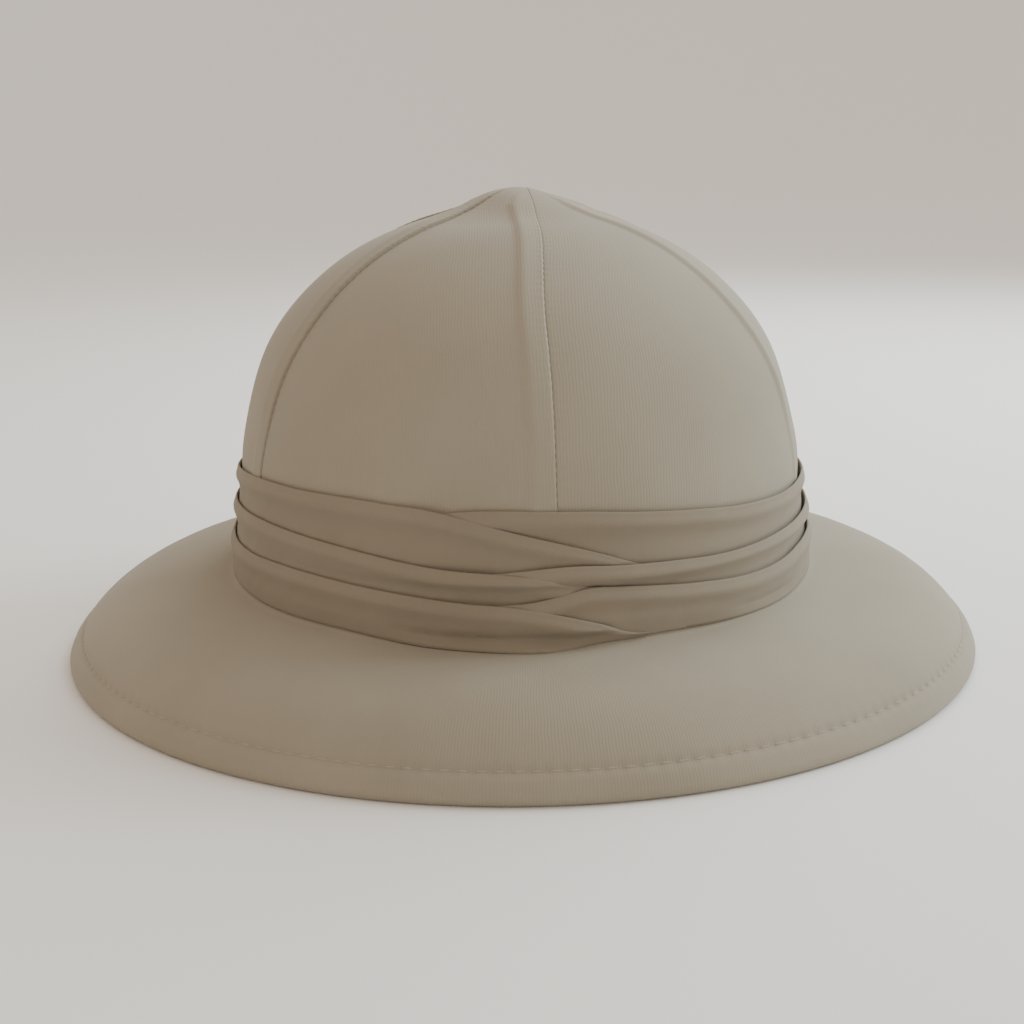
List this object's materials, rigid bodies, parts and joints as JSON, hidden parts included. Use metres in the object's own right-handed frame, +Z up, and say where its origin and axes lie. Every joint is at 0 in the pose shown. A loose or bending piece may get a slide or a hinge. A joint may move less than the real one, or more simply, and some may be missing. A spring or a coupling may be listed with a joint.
{
  "type": "pith helmet",
  "caption": "Cloth-covered sun helmet with a seamed dome, a low knob, a drooping brim all round and a pleated band wound round the foot of the crown.",
  "frame": {"origin": "the middle of the level plane that the rim rests on", "axes": "+Z up through the knob, -Y towards the front of the hat, +X to the wearer's left"},
  "size_m": [0.3218, 0.3338, 0.1595],
  "materials": {
    "shell_board": "pressed fibre board, unpainted, matt",
    "cover_cloth": "khaki cotton drill, matt, fine upright rib",
    "band_cloth": "khaki cotton, folded into pleats, matt"
  },
  "bodies": {
    "root": {"shell": "shell_board", "crown_gore_front_right": "cover_cloth", "crown_gore_right": "cover_cloth", "crown_gore_back_right": "cover_cloth", "crown_gore_back_left": "cover_cloth", "crown_gore_left": "cover_cloth", "crown_gore_front_left": "cover_cloth", "brim_cover": "cover_cloth", "band_pleat_top": "band_cloth", "band_pleat_middle": "band_cloth", "band_pleat_bottom": "band_cloth"}
  },
  "joints": []
}
